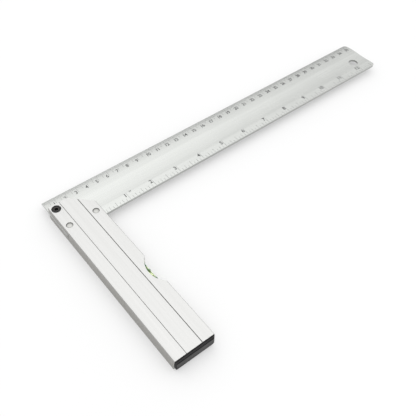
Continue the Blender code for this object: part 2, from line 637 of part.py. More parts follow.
def make_vial_plug(name, side):
    """A stopper pressed into one end of the tube; side is +1 towards the head, -1 to the foot."""
    flange = VIAL_PLUG_FLANGE
    profile = [(0.0, flange + VIAL_STUB), (VIAL_STUB_RADIUS, flange + VIAL_STUB),
               (VIAL_STUB_RADIUS, flange), (VIAL_RADIUS, flange), (VIAL_RADIUS, RUNNING),
               (VIAL_BORE - RUNNING, RUNNING), (VIAL_BORE - RUNNING, -VIAL_PLUG_INSIDE),
               (0.0, -VIAL_PLUG_INSIDE)]
    rotation = (-side * pi / 2, 0, 0)
    return turned(name, profile, (VIAL_X, Y_NOTCH + side * VIAL_HALF, Z_MID), PLUG_PLASTIC, rotation)


def make_ring(name, side):
    """A dark band round the tube that the bubble is read against."""
    y = Y_NOTCH + side * RING_SPACING / 2
    ring = rod(name, RING_OUTER, RING_WIDTH, (VIAL_X, y, Z_MID), ALONG_Y, sides=ROUND_FINE,
               material=RING_INK)
    combine(ring, rod(name + "_bore", RING_INNER, 4 * RING_WIDTH, (VIAL_X, y, Z_MID), ALONG_Y,
                      sides=ROUND_FINE))
    return ring


# ---------------------------------------------------------------- assembly
def main():
    make_stock()
    make_blade()
    make_rivet("pivot_rivet", PIVOT)
    make_rivet("clamp_rivet", CLAMP)
    make_adjuster()
    make_nut()
    make_washer()
    make_end_cap()
    make_holder()
    make_vial_tube()
    make_liquid()
    make_bubble()
    for end, side in (("head", 1), ("foot", -1)):
        make_vial_plug(f"vial_plug_{end}", side)
        make_ring(f"vial_ring_{end}", side)


main()
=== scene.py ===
"""Looks for the try and mitre square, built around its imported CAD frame."""

import json
from math import acos, asin, cos, pi, radians, sin, sqrt

import bmesh
import bpy
from mathutils import Matrix, Vector


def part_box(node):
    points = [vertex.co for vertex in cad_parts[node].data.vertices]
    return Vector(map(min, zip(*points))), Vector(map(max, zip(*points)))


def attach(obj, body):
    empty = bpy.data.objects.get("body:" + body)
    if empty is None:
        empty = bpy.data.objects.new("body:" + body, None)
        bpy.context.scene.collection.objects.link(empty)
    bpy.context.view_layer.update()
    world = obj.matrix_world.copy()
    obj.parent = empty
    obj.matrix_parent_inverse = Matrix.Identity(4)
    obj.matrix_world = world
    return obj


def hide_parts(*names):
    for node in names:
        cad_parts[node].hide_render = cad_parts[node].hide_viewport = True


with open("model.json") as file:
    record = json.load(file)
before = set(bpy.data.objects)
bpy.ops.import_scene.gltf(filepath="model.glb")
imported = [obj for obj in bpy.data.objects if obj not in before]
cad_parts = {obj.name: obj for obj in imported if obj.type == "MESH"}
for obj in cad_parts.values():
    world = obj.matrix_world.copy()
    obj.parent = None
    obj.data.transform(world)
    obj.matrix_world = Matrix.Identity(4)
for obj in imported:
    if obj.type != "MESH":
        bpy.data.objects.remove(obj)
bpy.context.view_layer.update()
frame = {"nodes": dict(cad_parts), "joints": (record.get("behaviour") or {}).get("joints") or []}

MM = 0.001

# ---------------------------------------------------------------- places, from the frame
STOCK_LOW, STOCK_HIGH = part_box("stock")
BLADE_LOW, BLADE_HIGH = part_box("blade")
PIVOT_LOW, PIVOT_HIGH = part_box("pivot_rivet")
CLAMP_LOW, CLAMP_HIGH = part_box("clamp_rivet")
CAP_LOW, CAP_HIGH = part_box("end_cap")
TUBE_LOW, TUBE_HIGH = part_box("vial_tube")
BUBBLE_LOW, BUBBLE_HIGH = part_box("vial_bubble")
JOINTS = {joint["name"]: joint for joint in frame["joints"]}

X_OUT, X_IN = STOCK_LOW.x, STOCK_HIGH.x
Y_FOOT, Y_HEAD = STOCK_LOW.y, STOCK_HIGH.y
TOP = STOCK_HIGH.z
Z_MID = TOP / 2
X_TIP, Y_EDGE, Y_BACK = BLADE_HIGH.x, BLADE_LOW.y, BLADE_HIGH.y
BLADE_BOTTOM, BLADE_TOP = BLADE_LOW.z, BLADE_HIGH.z
PIVOT = (PIVOT_LOW + PIVOT_HIGH) / 2
CLAMP = (CLAMP_LOW + CLAMP_HIGH) / 2
ADJUSTER = Vector(JOINTS["adjuster_turn"]["pos_m"])
TUBE = (TUBE_LOW + TUBE_HIGH) / 2
BUBBLE = (BUBBLE_LOW + BUBBLE_HIGH) / 2

# ---------------------------------------------------------------- shapes
BLADE_FLAT = 7.8 * MM
HOLLOW_END = 25.5 * MM
HOLLOW_DEPTH = 0.35 * MM
RIDGE_END = 30.3 * MM
BEVEL_START = 36.8 * MM
BEVEL_DROP = 0.3 * MM
EDGE_THICK = 0.9 * MM
TIP_RADIUS = 3.5 * MM
HANG_HOLE = (15.2 * MM, 15.3 * MM, 4.5 * MM)

STOCK_CORNER = 0.5 * MM
MITRE_LEG = 16.5 * MM
FOOT_SLANT = 1.7 * MM
SIDE_WALL, FACE_WALL = 1.4 * MM, 2.3 * MM
WEBS = (X_OUT + 10.0 * MM, X_IN - 10.4 * MM)
WEB = 1.4 * MM
CHAMBERS = ((X_OUT + SIDE_WALL, WEBS[0] - WEB / 2), (WEBS[0] + WEB / 2, WEBS[1] - WEB / 2),
            (WEBS[1] + WEB / 2, X_IN - SIDE_WALL))
CHAMBER_CORNER = 0.6 * MM
GROOVE_WIDTHS, GROOVE_DEPTH = (0.32 * MM, 0.52 * MM), 0.45 * MM
GROOVE_LIP, GROOVE_ROUND, GROOVE_TAPER, GROOVE_SHOULDER = 0.06 * MM, 0.05 * MM, 0.11 * MM, 0.88
NOTCH_RADIUS, NOTCH_DEPTH, NOTCH_LIP = 19.5 * MM, 6.2 * MM, 1.5 * MM
OVERRUN = 2.0 * MM
PLAY, RUNNING = 0.3 * MM, 0.1 * MM
BROKEN_ANGLE, SMOOTH_ANGLE = radians(35), radians(28)

# a seat is its bore, its mouth, the depth of its straight mouth and its whole depth
RIVET_SEAT = (1.7 * MM, 2.8 * MM, 0.8 * MM, 2.0 * MM)
SCREW_SEAT = (2.8 * MM, 3.85 * MM, 0.75 * MM, 2.45 * MM)
EXIT_RADIUS = 2.2 * MM
PIVOT_HOLE, CLAMP_HOLE = 1.7 * MM, 2.4 * MM
CAM_OFFSET, CAM_RADIUS = 0.335 * MM, 2.3 * MM
CAM_SLOT_RADIUS, CAM_SLOT_REACH = 2.4 * MM, 0.4 * MM

RIVET_SHANK, RIVET_HEAD, RIVET_CROWN = 1.6 * MM, 2.7 * MM, 0.45 * MM
RIVET_HEAD_HEIGHT, RIVET_LAND, RIVET_SHADE_START = 1.9 * MM, 0.25 * MM, 1.8 * MM
SCREW_SUNK, SCREW_HEAD, SCREW_SHANK, SCREW_FOOT = 0.15 * MM, 3.75 * MM, 1.9 * MM, 1.0 * MM
# how far out from the socket the painted highlight on the screw's top reaches
SCREW_HIGHLIGHT_REACH = 2.25 * MM
SOCKET_FLAT, SOCKET_DEPTH = 1.5 * MM, 1.6 * MM


# ---------------------------------------------------------------- mesh helpers
def arc(centre, radius, start, end, steps):
    return [(centre[0] + radius * cos(start + (end - start) * i / steps),
             centre[1] + radius * sin(start + (end - start) * i / steps))
            for i in range(steps + 1)]


def circle(centre, radius, sides):
    return arc(centre, radius, 0.0, 2 * pi * (sides - 1) / sides, sides - 1)


def rounded(low, high, radius):
    (u0, v0), (u1, v1) = low, high
    points = []
    for u, v, start in ((u1 - radius, v0 + radius, -pi / 2), (u1 - radius, v1 - radius, 0.0),
                        (u0 + radius, v1 - radius, pi / 2), (u0 + radius, v0 + radius, pi)):
        points += arc((u, v), radius, start, start + pi / 2, 6)
    return points


def link(name, mesh):
    made = bpy.data.objects.new(name, mesh)
    bpy.context.scene.collection.objects.link(made)
    return made


def from_bmesh(name, shape):
    bmesh.ops.recalc_face_normals(shape, faces=shape.faces)
    mesh = bpy.data.meshes.new(name)
    shape.to_mesh(mesh)
    shape.free()
    return link(name, mesh)


PLACE = {
    "X": lambda u, v, t: (t, u, v),
    "Y": lambda u, v, t: (u, t, v),
    "Z": lambda u, v, t: (u, v, t),
}


def extruded(name, loop, low, high, axis):
    """A closed solid: a flat outline carried from low to high along an axis."""
    shape = bmesh.new()
    place = PLACE[axis]
    rings = [[shape.verts.new(place(u, v, t)) for u, v in loop] for t in (low, high)]
    shape.faces.new(rings[0])
    shape.faces.new(list(reversed(rings[1])))
    count = len(loop)
    for i in range(count):
        j = (i + 1) % count
        shape.faces.new((rings[0][j], rings[0][i], rings[1][i], rings[1][j]))
    return from_bmesh(name, shape)


def block(name, low, high):
    loop = [(low[0], low[1]), (high[0], low[1]), (high[0], high[1]), (low[0], high[1])]
    return extruded(name, loop, low[2], high[2], "Z")


def lathe(name, profile, centre, axis="Z", sides=72):
    """A turned solid: (radius, height) points from one pole to the other, about an axis."""
    shape = bmesh.new()
    place = PLACE[axis]
    offset = Vector(centre)
    rings = []
    for radius, height in profile:
        count = 1 if radius < 1e-9 else sides
        ring = []
        for i in range(count):
            angle = 2 * pi * i / sides
            ring.append(shape.verts.new(
                Vector(place(radius * cos(angle), radius * sin(angle), height)) + offset))
        rings.append(ring)
    closed = len(rings[0]) > 1 and len(rings[-1]) > 1
    pairs = list(zip(rings, rings[1:])) + ([(rings[-1], rings[0])] if closed else [])
    for a, b in pairs:
        for i in range(sides):
            j = (i + 1) % sides
            corners = [a[i % len(a)], a[j % len(a)], b[j % len(b)], b[i % len(b)]]
            face = []
            for corner in corners:
                if corner not in face:
                    face.append(corner)
            if len(face) > 2:
                shape.faces.new(face)
    return from_bmesh(name, shape)


def bake(made):
    """Replace an object's mesh by what its modifiers make of it."""
    bpy.context.view_layer.update()
    graph = bpy.context.evaluated_depsgraph_get()
    mesh = bpy.data.meshes.new_from_object(made.evaluated_get(graph))
    made.modifiers.clear()
    old, made.data = made.data, mesh
    bpy.data.meshes.remove(old)
    return made


def boolean(target, tools, operation="DIFFERENCE"):
    for tool in tools:
        step = target.modifiers.new("cut", "BOOLEAN")
        step.operation = operation
        step.solver = "EXACT"
        step.object = tool
    bake(target)
    for tool in tools:
        bpy.data.objects.remove(tool, do_unlink=True)
    return target


def soften(made, width, segments=2, worn=True):
    """Break the sharp edges, give the broken edge the second material, and smooth the rest."""
    shape = bmesh.new()
    shape.from_mesh(made.data)
    bmesh.ops.remove_doubles(shape, verts=shape.verts, dist=0.002 * MM)
    bmesh.ops.dissolve_degenerate(shape, edges=shape.edges, dist=0.001 * MM)
    shape.to_mesh(made.data)
    shape.free()
    if width:
        bevel = made.modifiers.new("broken_edges", "BEVEL")
        bevel.limit_method = "ANGLE"
        bevel.angle_limit = BROKEN_ANGLE
        bevel.width = width
        bevel.segments = segments
        bevel.use_clamp_overlap = False
        # on the rivets and the screw the second material is painted light: shade on the rivet rims,
        # a highlight on the screw
        bevel.material = 1 if worn else -1
        bake(made)
    made.data.shade_smooth()
    made.data.set_sharp_from_angle(angle=SMOOTH_ANGLE)
    weighted = made.modifiers.new("flat_faces", "WEIGHTED_NORMAL")
    weighted.keep_sharp = True
    weighted.weight = 80
    return bake(made)


def dress(made, materials, body, slot, *nodes):
    """Give a piece its materials and body, and hide the CAD nodes that it stands for; slot is not
    used.
    """
    indices = [face.material_index for face in made.data.polygons]
    made.data.materials.clear()
    for material in materials:
        made.data.materials.append(material)
    made.data.polygons.foreach_set("material_index", indices)
    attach(made, body)
    if nodes:
        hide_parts(*nodes)
    return made


# ---------------------------------------------------------------- material helpers
class Nodes:
    """A short way to build one Principled material out of procedural detail."""

    def __init__(self, name):
        self.material = bpy.data.materials.new(name)
        self.material.use_nodes = True
        self.tree = self.material.node_tree
        self.shader = self.tree.nodes["Principled BSDF"]
        self.coords = self.tree.nodes.new("ShaderNodeTexCoord").outputs["Object"]

    def add(self, kind, **inputs):
        node = self.tree.nodes.new(kind)
        for key, value in inputs.items():
            socket = node.inputs[int(key[1:]) if key[0] == "_" else key.replace("_", " ")]
            if isinstance(value, bpy.types.NodeSocket):
                self.tree.links.new(value, socket)
            else:
                socket.default_value = value
        return node

    def noise(self, scale, detail=2.0, rough=0.5, turn=(0, 0, 0)):
        """Noise of one feature size per axis, given as features per metre."""
        mapping = self.add("ShaderNodeMapping", Vector=self.coords, Scale=scale, Rotation=turn)
        return self.add("ShaderNodeTexNoise", Vector=mapping.outputs[0], Scale=1.0,
                        Detail=detail, Roughness=rough).outputs[0]

    def spread(self, value, low, high, out_low=0.0, out_high=1.0):
        node = self.add("ShaderNodeMapRange", Value=value, From_Min=low, From_Max=high,
                        To_Min=out_low, To_Max=out_high)
        node.clamp = True
        return node.outputs[0]

    def math(self, operation, a, b):
        node = self.add("ShaderNodeMath", _0=a, _1=b)
        node.operation = operation
        return node.outputs[0]

    def mix(self, factor, a, b):
        node = self.tree.nodes.new("ShaderNodeMix")
        node.data_type = "RGBA"
        for socket, value in ((node.inputs[0], factor), (node.inputs[6], a), (node.inputs[7], b)):
            if isinstance(value, bpy.types.NodeSocket):
                self.tree.links.new(value, socket)
            else:
                socket.default_value = (*value, 1.0) if isinstance(value, tuple) else value
        return node.outputs[2]

    def bump(self, height, strength, distance, normal=None):
        node = self.add("ShaderNodeBump", Height=height, Strength=strength, Distance=distance)
        if normal is not None:
            self.tree.links.new(normal, node.inputs["Normal"])
        return node.outputs[0]

    def wear(self):
        """How exposed an edge is, broken up by noise."""
        geometry = self.tree.nodes.new("ShaderNodeNewGeometry")
        raw = self.spread(geometry.outputs["Pointiness"], 0.52, 0.62)
        return self.math("MULTIPLY", raw, self.spread(self.noise((900, 900, 900)), 0.35, 0.65))

    def set(self, **inputs):
        for key, value in inputs.items():
            socket = self.shader.inputs[key.replace("_", " ")]
            if isinstance(value, bpy.types.NodeSocket):
                self.tree.links.new(value, socket)
            elif isinstance(value, tuple) and len(value) == 3 and len(socket.default_value) == 4:
                socket.default_value = (*value, 1.0)
            else:
                socket.default_value = value
        return self.material


def drawn_out(across, along, axis):
    """A noise scale that is fine across a metal's draw lines and coarse along them."""
    scale = [across] * 3
    scale[axis] = along
    return tuple(scale)


def aluminium(name, base, shade, rough, drawn):
    """Metal with fine draw lines along one axis, a cloudy sheen and small scratches."""
    n = Nodes(name)
    lines = n.noise(drawn_out(5200.0, 22.0, drawn), 3.0, 0.6)
    bands = n.noise(drawn_out(700.0, 9.0, drawn), 2.0, 0.5)
    cloud = n.noise((38.0, 38.0, 38.0), 3.0, 0.55)
    grain = n.noise((9000.0, 9000.0, 9000.0), 1.0, 0.5)
    scratches = n.noise(drawn_out(160.0, 14.0, drawn), 6.0, 0.75, (0.0, 0.0, 0.5))
    scratches = n.spread(scratches, 0.70, 0.74)
    tone = n.math("ADD", n.math("MULTIPLY", lines, 0.35),
                  n.math("ADD", n.math("MULTIPLY", bands, 0.35), n.math("MULTIPLY", cloud, 0.3)))
    colour = n.mix(n.spread(tone, 0.36, 0.64), shade, base)
    colour = n.mix(n.math("MULTIPLY", scratches, 0.25), colour, (0.92, 0.92, 0.90))
    gloss = n.math("ADD", n.spread(cloud, 0.3, 0.7, -0.035, 0.035),
                   n.spread(lines, 0.3, 0.7, -0.03, 0.03))
    gloss = n.math("ADD", gloss, rough)
    normal = n.bump(lines, 0.12, 0.00002)
    normal = n.bump(bands, 0.06, 0.00004, normal)
    normal = n.bump(grain, 0.05, 0.00001, normal)
    return n.set(Base_Color=colour, Roughness=gloss, Normal=normal, Metallic=1.0)


def bright_edge(name, base, rough):
    """Metal with nicks, where an edge has been cut and handled; darker copies of it are painted
    shade in the grooves and on the rivet rims.
    """
    n = Nodes(name)
    nicks = n.noise((1500.0, 1500.0, 1500.0), 3.0, 0.6)
    colour = n.mix(n.spread(nicks, 0.35, 0.65), tuple(c * 0.82 for c in base), base)
    return n.set(Base_Color=colour, Roughness=n.spread(nicks, 0.3, 0.7, rough - 0.06, rough + 0.08),
                 Normal=n.bump(nicks, 0.2, 0.00003), Metallic=1.0)


def moulded(name, base, worn, rough, grain=2600.0, depth=0.00003, **extra):
    """A moulded plastic or coating: fine grain, uneven sheen and lighter, rubbed edges."""
    n = Nodes(name)
    texture = n.noise((grain, grain, grain), 2.0, 0.55)
    cloud = n.noise((60.0, 60.0, 60.0), 3.0, 0.5)
    colour = n.mix(n.spread(cloud, 0.3, 0.7), tuple(c * 0.8 for c in base), base)
    colour = n.mix(n.math("MULTIPLY", n.wear(), 0.6), colour, worn)
    sheen = n.math("ADD", n.spread(cloud, 0.3, 0.7, -0.06, 0.06),
                   n.spread(texture, 0.3, 0.7, rough - 0.05, rough + 0.05))
    return n.set(Base_Color=colour, Roughness=sheen, Normal=n.bump(texture, 0.25, depth), **extra)


STOCK_METAL = aluminium("stock_aluminium", (0.470, 0.470, 0.462), (0.425, 0.425, 0.418), 0.36, 1)
STOCK_EDGE = bright_edge("stock_edge", (0.50, 0.50, 0.49), 0.34)
# painted shade: a darker, warmer copy of the stock's aluminium for its two long sides
STOCK_SIDE_PAINTED_SHADE = aluminium("stock_side_painted_shade", (0.365, 0.358, 0.337), (0.326, 0.320, 0.301), 0.42, 1)
# painted shade: a dark copy of the metal that darkens the V grooves
GROOVE_PAINTED_SHADE = bright_edge("groove_painted_shade", (0.20, 0.20, 0.19), 0.50)
BLADE_METAL = aluminium("blade_aluminium", (0.450, 0.458, 0.444), (0.418, 0.426, 0.413), 0.26, 0)
BLADE_EDGE = bright_edge("blade_edge", (0.40, 0.395, 0.38), 0.32)
RIVET_METAL = aluminium("rivet_aluminium", (0.40, 0.40, 0.385), (0.33, 0.33, 0.315), 0.28, 2)
# painted shade: a darker copy of the rivet metal for the rim of each head
RIVET_RIM_PAINTED_SHADE = bright_edge("rivet_rim_painted_shade", (0.30, 0.30, 0.29), 0.36)
BLACK_OXIDE = moulded("black_oxide", (0.015, 0.015, 0.015), (0.10, 0.095, 0.09), 0.38,
                      3500.0, 0.00002, Metallic=0.6, Specular_IOR_Level=0.3)
# painted highlight: a lighter copy of the black oxide for the screw's top round the socket and its
# broken edges
OXIDE_PAINTED_HIGHLIGHT = moulded("oxide_painted_highlight", (0.045, 0.041, 0.038), (0.12, 0.11, 0.10), 0.42, 3000.0,
                     0.00002, Metallic=0.6, Specular_IOR_Level=0.4)
BLACK_PLASTIC = moulded("cap_plastic", (0.009, 0.009, 0.0095), (0.03, 0.03, 0.03), 0.45,
                        Specular_IOR_Level=0.12)
# painted sheen: the proud band is rougher, coarser-grained black plastic whose lighter base stands
# in for the light it catches
CAP_BUMPER_PAINTED_SHEEN = moulded("cap_bumper_painted_sheen", (0.030, 0.030, 0.029), (0.06, 0.06, 0.06), 0.50, 1500.0,
                         0.00006, Specular_IOR_Level=0.35)
PLATED = aluminium("plated_steel", (0.62, 0.62, 0.60), (0.50, 0.50, 0.48), 0.30, 2)
HOLDER_PLASTIC = moulded("holder_plastic", (0.72, 0.74, 0.66), (0.80, 0.81, 0.76), 0.45, 1800.0)
PLUG_PLASTIC = moulded("plug_plastic", (0.018, 0.110, 0.045), (0.05, 0.18, 0.10), 0.32, 2200.0)
RING_INK = moulded("ring_ink", (0.030, 0.150, 0.036), (0.06, 0.18, 0.06), 0.45, 4200.0, 0.00001)
SCALE_INK = moulded("scale_ink", (0.030, 0.031, 0.032), (0.10, 0.10, 0.10), 0.60, 5200.0, 0.00001)


def clear(name, tint, shade, rough, ior, cloud, through):
    """A clear filling or wall with faint cloudiness and a slightly uneven surface."""
    n = Nodes(name)
    swirl = n.noise((420.0, 180.0, 420.0), 2.0, 0.5)
    colour = n.mix(n.math("MULTIPLY", n.spread(swirl, 0.3, 0.7), cloud), tint, shade)
    return n.set(Base_Color=colour, Roughness=n.spread(swirl, 0.3, 0.7, rough, rough + 0.04),
                 Normal=n.bump(swirl, 0.05, 0.00004), Transmission_Weight=through, IOR=ior)


ACRYLIC = clear("clear_acrylic", (0.91, 0.97, 0.76), (0.87, 0.95, 0.70), 0.03, 1.12, 0.5, 0.95)
LIQUID = clear("green_liquid", (0.170, 0.325, 0.030), (0.125, 0.260, 0.022), 0.15, 1.33, 0.6, 0.08)
AIR = clear("bubble_air", (0.72, 0.73, 0.66), (0.66, 0.68, 0.58), 0.22, 1.20, 0.5, 0.05)


# ---------------------------------------------------------------- stock
def stock_section():
    """Rounded corners, and a round-lipped V groove over each web on both faces."""
    corner, lip = STOCK_CORNER, GROOVE_LIP

    def groove(x, width, face, sign, order):
        half, floor = width / 2, width / 2 - GROOVE_TAPER
        shoulder = GROOVE_DEPTH * GROOVE_SHOULDER
        points = [(-half - lip, 0.0), (-half, GROOVE_ROUND), (-floor, shoulder),
                  (0.0, GROOVE_DEPTH), (floor, shoulder), (half, GROOVE_ROUND),
                  (half + lip, 0.0)]
        return [(x + order * u, face - sign * v) for u, v in points]

    points = arc((X_OUT + corner, corner), corner, pi, 1.5 * pi, 5)
    for x, width in zip(WEBS, GROOVE_WIDTHS):
        points += groove(x, width, 0.0, -1, 1)
    points += arc((X_IN - corner, corner), corner, 1.5 * pi, 2 * pi, 5)
    points += arc((X_IN - corner, TOP - corner), corner, 0.0, pi / 2, 5)
    for x, width in reversed(list(zip(WEBS, GROOVE_WIDTHS))):
        points += groove(x, width, TOP, 1, -1)
    points += arc((X_OUT + corner, TOP - corner), corner, pi / 2, pi, 5)
    return points


def notch_outline():
    centre_x = X_IN - NOTCH_DEPTH + NOTCH_RADIUS
    lip_x = X_IN - NOTCH_LIP + 0.02 * MM
    reach = NOTCH_RADIUS + NOTCH_LIP
    lean = acos((centre_x - lip_x) / reach)
    rise = reach * sin(lean)
    points = arc((lip_x, TUBE.y - rise), NOTCH_LIP, 0.0, lean, 8)
    points += arc((centre_x, TUBE.y), NOTCH_RADIUS, pi + lean, pi - lean, 48)[1:-1]
    points += arc((lip_x, TUBE.y + rise), NOTCH_LIP, -lean, 0.0, 8)
    outside = X_IN + 2 * NOTCH_LIP
    return points + [(outside, TUBE.y + rise), (outside, TUBE.y - rise)]


def seat(centre, bore, mouth, land, depth, top):
    """A cutter for a countersunk hole in the upper or lower face of the stock."""
    face, away = (TOP, 1.0) if top else (0.0, -1.0)
    profile = [(0.0, face + away * OVERRUN), (mouth, face + away * OVERRUN),
               (mouth, face - away * land), (bore, face - away * depth),
               (bore, face - away * 2 * OVERRUN), (0.0, face - away * 2 * OVERRUN)]
    return lathe("seat", profile, (centre.x, centre.y, 0.0))


def foot_end(z):
    """Where the slanted foot end is at a height."""
    return Y_FOOT + FOOT_SLANT * (1 - z / TOP)


def finish_faces(mesh):
    """Give the grooves the third material and the two long sides the fourth: darker copies of the
    metal that paint shade into the grooves and onto the sides.
    """
    for face in mesh.polygons:
        centre = face.center
        # painted shade: the long sides take the darker fourth material
        if abs(face.normal.x) > 0.99 and min(centre.x - X_OUT, X_IN - centre.x) < 0.02 * MM:
            face.material_index = 3
        depth = min(centre.z, TOP - centre.z)
        # painted shade: the groove faces take the dark third material
        for x, width in zip(WEBS, GROOVE_WIDTHS):
            if 0.03 * MM < depth < GROOVE_DEPTH and abs(centre.x - x) < width / 2:
                face.material_index = 2


def make_stock():
    start = Y_FOOT - OVERRUN / 2
    made = extruded("stock_extrusion", stock_section(), start, Y_HEAD, "Y")
    tools = [extruded("chamber", rounded((x0, FACE_WALL), (x1, TOP - FACE_WALL), CHAMBER_CORNER),
                      start - OVERRUN, Y_HEAD + OVERRUN, "Y") for x0, x1 in CHAMBERS]
    low, high = -OVERRUN, TOP + OVERRUN
    saw = [(foot_end(low), low), (foot_end(high), high), (Y_FOOT - 2 * OVERRUN, high),
           (Y_FOOT - 2 * OVERRUN, low)]
    tools.append(extruded("saw", list(reversed(saw)), X_OUT - OVERRUN, X_IN + OVERRUN, "X"))
    mitre = [(X_IN - MITRE_LEG - OVERRUN, Y_HEAD + OVERRUN),
             (X_IN + OVERRUN, Y_HEAD - MITRE_LEG - OVERRUN), (X_IN + OVERRUN, Y_HEAD + OVERRUN)]
    tools.append(extruded("mitre", mitre, -OVERRUN, TOP + OVERRUN, "Z"))
    tools.append(extruded("notch", notch_outline(), -OVERRUN, TOP + OVERRUN, "Z"))
    tools.append(block("slot", (X_OUT - OVERRUN, Y_EDGE - 3 * PLAY, BLADE_BOTTOM - PLAY),
                       (X_IN + OVERRUN, Y_HEAD + OVERRUN, BLADE_TOP + PLAY)))
    for rivet in (PIVOT, CLAMP):
        for top in (True, False):
            tools.append(seat(rivet, *RIVET_SEAT, top))
    tools.append(seat(ADJUSTER, *SCREW_SEAT, True))
    tools.append(lathe("exit", [(0.0, -OVERRUN), (EXIT_RADIUS, -OVERRUN),
                                (EXIT_RADIUS, 2 * OVERRUN), (0.0, 2 * OVERRUN)],
                       (ADJUSTER.x, ADJUSTER.y, 0.0)))
    boolean(made, tools)
    soften(made, 0.1 * MM)
    finish_faces(made.data)
    return dress(made, (STOCK_METAL, STOCK_EDGE, GROOVE_PAINTED_SHADE, STOCK_SIDE_PAINTED_SHADE), "stock",
                 "stock_aluminium", "stock")


# ---------------------------------------------------------------- blade
def surface(y):
    """Height of the blade's graduated face at a distance from its inner edge."""
    if BLADE_FLAT < y < HOLLOW_END:
        half = (HOLLOW_END - BLADE_FLAT) / 2
        radius = (half ** 2 + HOLLOW_DEPTH ** 2) / (2 * HOLLOW_DEPTH)
        off = y - BLADE_FLAT - half
        return BLADE_TOP + radius - HOLLOW_DEPTH - sqrt(radius ** 2 - off ** 2)
    if y <= RIDGE_END:
        return BLADE_TOP
    start, end, drop = BLADE_TOP, BLADE_TOP - BEVEL_DROP, BEVEL_START - RIDGE_END
    if y <= BEVEL_START:
        return start + (end - start) * (y - RIDGE_END) / drop
    low = BLADE_BOTTOM + EDGE_THICK
    return end + (low - end) * (y - BEVEL_START) / (Y_BACK - Y_EDGE - BEVEL_START)


def make_blade():
    ys = [0.0, 0.12 * MM]
    ys += [BLADE_FLAT + (HOLLOW_END - BLADE_FLAT) * i / 28 for i in range(29)]
    ys += [RIDGE_END, BEVEL_START, Y_BACK - Y_EDGE]
    upper = [(Y_EDGE + y, surface(y)) for y in ys]
    section = [(Y_EDGE, BLADE_BOTTOM)] + upper + [(Y_BACK, BLADE_BOTTOM)]
    made = extruded("blade_rule", list(reversed(section)), X_OUT - OVERRUN, X_TIP + OVERRUN, "X")
    r = TIP_RADIUS
    plan = [(X_OUT, Y_EDGE - OVERRUN), (X_TIP - r, Y_EDGE - OVERRUN)]
    plan += arc((X_TIP - r, Y_EDGE + r), r, -pi / 2, 0.0, 16)
    plan += arc((X_TIP - r, Y_BACK - r), r, 0.0, pi / 2, 16)
    plan += [(X_TIP - r, Y_BACK + OVERRUN), (X_OUT, Y_BACK + OVERRUN)]
    blank = extruded("plan", plan, BLADE_BOTTOM - OVERRUN, BLADE_TOP + OVERRUN, "Z")
    boolean(made, [blank], "INTERSECT")
    low, high = BLADE_BOTTOM - OVERRUN, BLADE_TOP + OVERRUN
    hang = (X_TIP - HANG_HOLE[0], Y_EDGE + HANG_HOLE[1])
    holes = [extruded("hole", circle(hang, HANG_HOLE[2], 96), low, high, "Z"),
             extruded("hole", circle(PIVOT.xy, PIVOT_HOLE, 48), low, high, "Z"),
             extruded("hole", circle(CLAMP.xy, CLAMP_HOLE, 48), low, high, "Z")]
    along = (ADJUSTER.xy - PIVOT.xy).normalized()
    angle = -Vector((1, 0)).angle_signed(along)
    centre = ADJUSTER.xy + along * CAM_OFFSET
    reach, end = along * CAM_SLOT_REACH, CAM_SLOT_RADIUS
    ends = (arc(centre + reach, end, angle - pi / 2, angle + pi / 2, 24)
            + arc(centre - reach, end, angle + pi / 2, angle + 1.5 * pi, 24))
    holes.append(extruded("hole", ends, low, high, "Z"))
    boolean(made, holes)
    soften(made, 0.09 * MM)
    return dress(made, (BLADE_METAL, BLADE_EDGE), "blade", "blade_aluminium", "blade")


# ---------------------------------------------------------------- printed scales
INK_PROUD, INK_SUNK = 0.02 * MM, 0.08 * MM
HOLLOW_STOP = 8.2 * MM
DIGIT_PER_SIZE = 0.729

# lengths in millimetres; a tick's first number says how often it comes
CM_TICKS = ((10, 33.2, 0.16), (5, 34.3, 0.14), (1, 37.2, 0.1))
CM_TICK_END, CM = 41.1, 10.0
INCH_TICKS = ((8, 8.5), (4, 5.4), (2, 4.1), (1, 2.9))
INCH_TICK_START, INCH_TICK_WIDTH = 0.45, 0.20
INCH, EIGHTH = 25.4, 3.175
# how far before its tick the middle of a one-digit and of a two-digit number stands
CM_SHIFTS, INCH_SHIFTS = (1.8, -0.25), (1.75, 3.1)
UNIT_X = 29.4

INCH_START = X_IN - X_OUT + 0.34 * MM
CM_FOOT, INCH_FOOT, UNIT_FOOT = 32.25 * MM, 4.65 * MM, 4.9 * MM
# each style is a digit's height, its squeeze across and how much bolder it is
CM_STYLE, INCH_STYLE = (3.8 * MM, 0.90, 0.07 * MM), (3.95 * MM, 0.95, 0.12 * MM)


def strokes(name, marks):
    """Printed lines across the blade: each is (x, from, to, width), following its surface."""
    shape = bmesh.new()
    for x, y0, y1, width in marks:
        bends = (BLADE_FLAT, HOLLOW_STOP, RIDGE_END, BEVEL_START)
        stops = [y0] + [bend for bend in bends if y0 < bend < y1]
        stops.append(y1)
        rings = []
        for y in stops:
            height = surface(y)
            ring = [shape.verts.new((X_OUT + x + dx, Y_EDGE + y, height + dz))
                    for dx, dz in ((-width / 2, -INK_SUNK), (width / 2, -INK_SUNK),
                                   (width / 2, INK_PROUD), (-width / 2, INK_PROUD))]
            rings.append(ring)
        shape.faces.new(rings[0])
        shape.faces.new(list(reversed(rings[-1])))
        for a, b in zip(rings, rings[1:]):
            for i in range(4):
                j = (i + 1) % 4
                shape.faces.new((a[j], a[i], b[i], b[j]))
    made = from_bmesh(name, shape)
    return dress(made, (SCALE_INK,), "blade", "printed_black")


